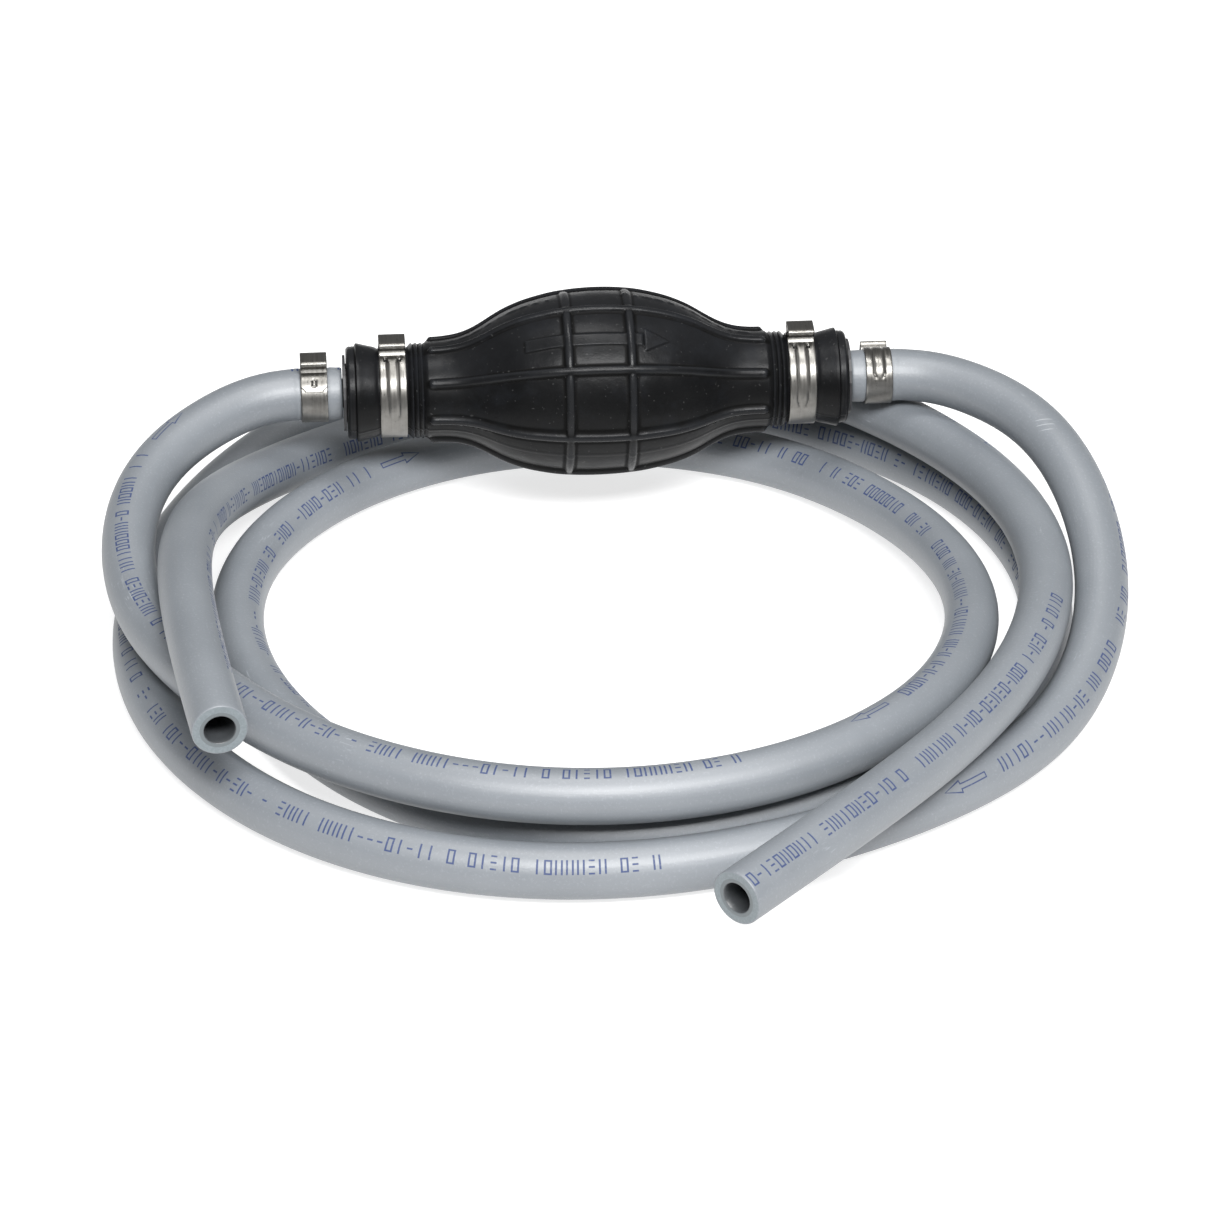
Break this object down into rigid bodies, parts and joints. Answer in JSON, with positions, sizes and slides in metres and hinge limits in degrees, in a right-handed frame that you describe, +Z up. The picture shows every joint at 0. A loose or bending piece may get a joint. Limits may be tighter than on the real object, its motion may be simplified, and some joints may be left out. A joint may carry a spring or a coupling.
{
  "type": "fuel line primer bulb assembly",
  "caption": "Squeeze primer bulb with check valves in its ends, clamped between two lengths of rubber fuel hose laid in loose loops",
  "frame": {"origin": "on the table, under the middle of the whole object's box", "axes": "+X along the bulb in the direction of flow, +Y from the front of the loops to the bulb at the back, +Z up"},
  "size_m": [0.2727, 0.3069, 0.0627],
  "materials": {
    "bulb_rubber": "semi-gloss moulded black rubber",
    "hose_rubber": "satin blue-grey extruded hose",
    "fitting_plastic": "moulded black acetal",
    "valve_plastic": "moulded dark acetal",
    "seal_rubber": "brown fuel-proof rubber",
    "ball_plastic": "ground white acetal ball",
    "spring_steel": "drawn stainless wire",
    "clamp_steel": "rolled stainless strip"
  },
  "bodies": {
    "fuel_line": {"primer_bulb": "bulb_rubber", "inlet_fitting": "fitting_plastic", "inlet_valve_seat": "valve_plastic", "inlet_cartridge_seal": "seal_rubber", "inlet_seat_ring": "seal_rubber", "inlet_valve_spring": "spring_steel", "inlet_valve_cage": "valve_plastic", "inlet_bulb_clamp": "clamp_steel", "inlet_hose_clamp": "clamp_steel", "outlet_fitting": "fitting_plastic", "outlet_valve_seat": "valve_plastic", "outlet_cartridge_seal": "seal_rubber", "outlet_seat_ring": "seal_rubber", "outlet_valve_spring": "spring_steel", "outlet_valve_cage": "valve_plastic", "outlet_bulb_clamp": "clamp_steel", "outlet_hose_clamp": "clamp_steel", "tank_hose": "hose_rubber", "engine_hose": "hose_rubber"},
    "inlet_ball": {"inlet_valve_ball": "ball_plastic"},
    "outlet_ball": {"outlet_valve_ball": "ball_plastic"}
  },
  "joints": [
    {"name": "inlet_valve_opening", "type": "slide", "parent": "fuel_line", "child": "inlet_ball", "axis": [1, 0, 0], "range_m": [0, 0.003], "stiffness_N_per_m": 20, "springref_m": -0.002, "deforming": ["inlet_valve_spring"]},
    {"name": "outlet_valve_opening", "type": "slide", "parent": "fuel_line", "child": "outlet_ball", "axis": [1, 0, 0], "range_m": [0, 0.003], "stiffness_N_per_m": 20, "springref_m": -0.002, "deforming": ["outlet_valve_spring"]}
  ]
}
